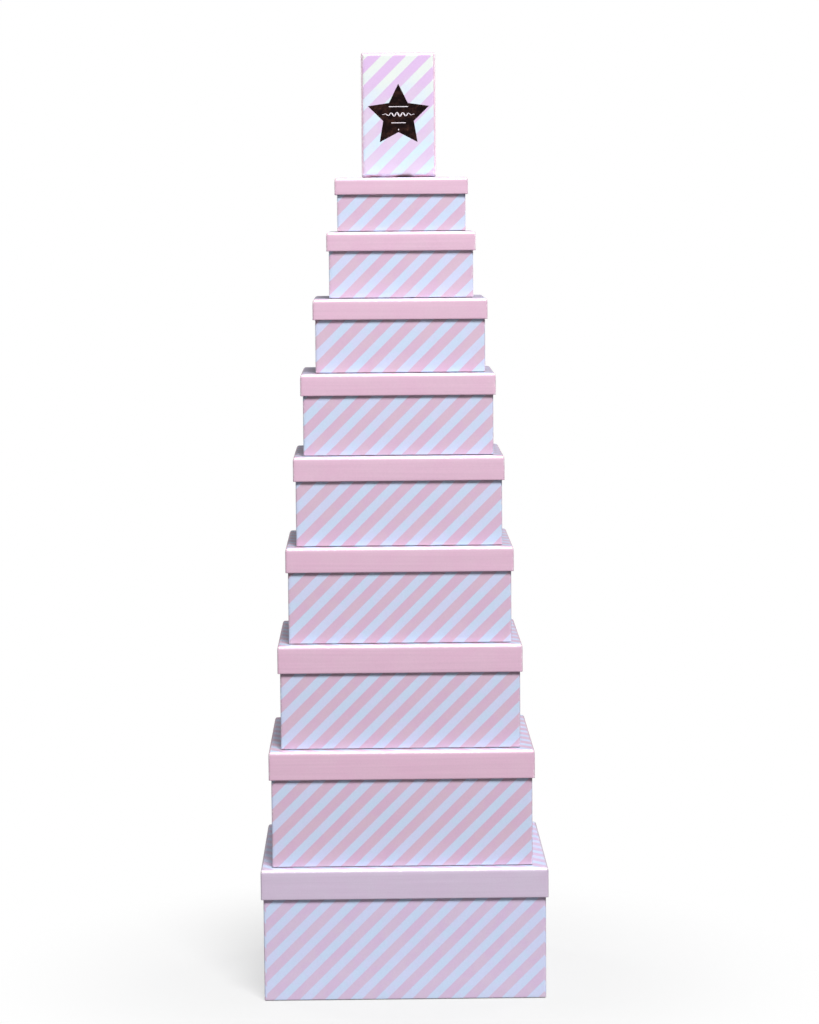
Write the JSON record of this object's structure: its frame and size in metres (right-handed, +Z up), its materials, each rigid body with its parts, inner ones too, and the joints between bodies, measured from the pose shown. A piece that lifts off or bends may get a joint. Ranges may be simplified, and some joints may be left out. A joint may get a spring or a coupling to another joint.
{
  "type": "nesting gift box set",
  "caption": "Stack of nesting rectangular rigid cardboard gift boxes with lift-off lids, wrapped in striped paper, the smallest standing on its short end on top.",
  "frame": {"origin": "on the ground under the middle of the largest box", "axes": "+Z up the stack, -Y to the front, +X to the right seen from the front"},
  "size_m": [0.375, 0.29, 1.2324],
  "materials": {
    "greyboard": "matt",
    "stay_tape": "matt",
    "striped_paper": "satin pearl, printed in pink and white stripes",
    "lid_paper": "satin pearl, plain pink round the side and striped on top"
  },
  "bodies": {
    "box_10_base": {"box_10_base_board": "greyboard", "box_10_base_corner_stays": "stay_tape", "box_10_base_wrap": "striped_paper"},
    "box_10_lid": {"box_10_lid_board": "greyboard", "box_10_lid_corner_stays": "stay_tape", "box_10_lid_wrap": "lid_paper"},
    "box_9_base": {"box_9_base_board": "greyboard", "box_9_base_corner_stays": "stay_tape", "box_9_base_wrap": "striped_paper"},
    "box_9_lid": {"box_9_lid_board": "greyboard", "box_9_lid_corner_stays": "stay_tape", "box_9_lid_wrap": "lid_paper"},
    "box_8_base": {"box_8_base_board": "greyboard", "box_8_base_corner_stays": "stay_tape", "box_8_base_wrap": "striped_paper"},
    "box_8_lid": {"box_8_lid_board": "greyboard", "box_8_lid_corner_stays": "stay_tape", "box_8_lid_wrap": "lid_paper"},
    "box_7_base": {"box_7_base_board": "greyboard", "box_7_base_corner_stays": "stay_tape", "box_7_base_wrap": "striped_paper"},
    "box_7_lid": {"box_7_lid_board": "greyboard", "box_7_lid_corner_stays": "stay_tape", "box_7_lid_wrap": "lid_paper"},
    "box_6_base": {"box_6_base_board": "greyboard", "box_6_base_corner_stays": "stay_tape", "box_6_base_wrap": "striped_paper"},
    "box_6_lid": {"box_6_lid_board": "greyboard", "box_6_lid_corner_stays": "stay_tape", "box_6_lid_wrap": "lid_paper"},
    "box_5_base": {"box_5_base_board": "greyboard", "box_5_base_corner_stays": "stay_tape", "box_5_base_wrap": "striped_paper"},
    "box_5_lid": {"box_5_lid_board": "greyboard", "box_5_lid_corner_stays": "stay_tape", "box_5_lid_wrap": "lid_paper"},
    "box_4_base": {"box_4_base_board": "greyboard", "box_4_base_corner_stays": "stay_tape", "box_4_base_wrap": "striped_paper"},
    "box_4_lid": {"box_4_lid_board": "greyboard", "box_4_lid_corner_stays": "stay_tape", "box_4_lid_wrap": "lid_paper"},
    "box_3_base": {"box_3_base_board": "greyboard", "box_3_base_corner_stays": "stay_tape", "box_3_base_wrap": "striped_paper"},
    "box_3_lid": {"box_3_lid_board": "greyboard", "box_3_lid_corner_stays": "stay_tape", "box_3_lid_wrap": "lid_paper"},
    "box_2_base": {"box_2_base_board": "greyboard", "box_2_base_corner_stays": "stay_tape", "box_2_base_wrap": "striped_paper"},
    "box_2_lid": {"box_2_lid_board": "greyboard", "box_2_lid_corner_stays": "stay_tape", "box_2_lid_wrap": "lid_paper"},
    "box_1_base": {"box_1_base_board": "greyboard", "box_1_base_corner_stays": "stay_tape", "box_1_base_wrap": "striped_paper"},
    "box_1_lid": {"box_1_lid_board": "greyboard", "box_1_lid_corner_stays": "stay_tape", "box_1_lid_wrap": "lid_paper"}
  },
  "joints": [
    {"name": "box_10_lid_lift", "type": "slide", "parent": "box_10_base", "child": "box_10_lid", "axis": [0, 0, 1], "range_m": [0, 0.079]},
    {"name": "box_9_lift", "type": "slide", "parent": "box_10_lid", "child": "box_9_base", "axis": [0, 0, 1], "range_m": [0, 0.05]},
    {"name": "box_9_lid_lift", "type": "slide", "parent": "box_9_base", "child": "box_9_lid", "axis": [0, 0, 1], "range_m": [0, 0.075]},
    {"name": "box_8_lift", "type": "slide", "parent": "box_9_lid", "child": "box_8_base", "axis": [0, 0, 1], "range_m": [0, 0.05]},
    {"name": "box_8_lid_lift", "type": "slide", "parent": "box_8_base", "child": "box_8_lid", "axis": [0, 0, 1], "range_m": [0, 0.073]},
    {"name": "box_7_lift", "type": "slide", "parent": "box_8_lid", "child": "box_7_base", "axis": [0, 0, 1], "range_m": [0, 0.05]},
    {"name": "box_7_lid_lift", "type": "slide", "parent": "box_7_base", "child": "box_7_lid", "axis": [0, 0, 1], "range_m": [0, 0.065]},
    {"name": "box_6_lift", "type": "slide", "parent": "box_7_lid", "child": "box_6_base", "axis": [0, 0, 1], "range_m": [0, 0.05]},
    {"name": "box_6_lid_lift", "type": "slide", "parent": "box_6_base", "child": "box_6_lid", "axis": [0, 0, 1], "range_m": [0, 0.064]},
    {"name": "box_5_lift", "type": "slide", "parent": "box_6_lid", "child": "box_5_base", "axis": [0, 0, 1], "range_m": [0, 0.05]},
    {"name": "box_5_lid_lift", "type": "slide", "parent": "box_5_base", "child": "box_5_lid", "axis": [0, 0, 1], "range_m": [0, 0.057]},
    {"name": "box_4_lift", "type": "slide", "parent": "box_5_lid", "child": "box_4_base", "axis": [0, 0, 1], "range_m": [0, 0.05]},
    {"name": "box_4_lid_lift", "type": "slide", "parent": "box_4_base", "child": "box_4_lid", "axis": [0, 0, 1], "range_m": [0, 0.054]},
    {"name": "box_3_lift", "type": "slide", "parent": "box_4_lid", "child": "box_3_base", "axis": [0, 0, 1], "range_m": [0, 0.05]},
    {"name": "box_3_lid_lift", "type": "slide", "parent": "box_3_base", "child": "box_3_lid", "axis": [0, 0, 1], "range_m": [0, 0.05]},
    {"name": "box_2_lift", "type": "slide", "parent": "box_3_lid", "child": "box_2_base", "axis": [0, 0, 1], "range_m": [0, 0.05]},
    {"name": "box_2_lid_lift", "type": "slide", "parent": "box_2_base", "child": "box_2_lid", "axis": [0, 0, 1], "range_m": [0, 0.044]},
    {"name": "box_1_lift", "type": "slide", "parent": "box_2_lid", "child": "box_1_base", "axis": [0, 0, 1], "range_m": [0, 0.05]},
    {"name": "box_1_lid_lift", "type": "slide", "parent": "box_1_base", "child": "box_1_lid", "axis": [0, -0.9966, 0.0828], "range_m": [0, 0.035]}
  ]
}
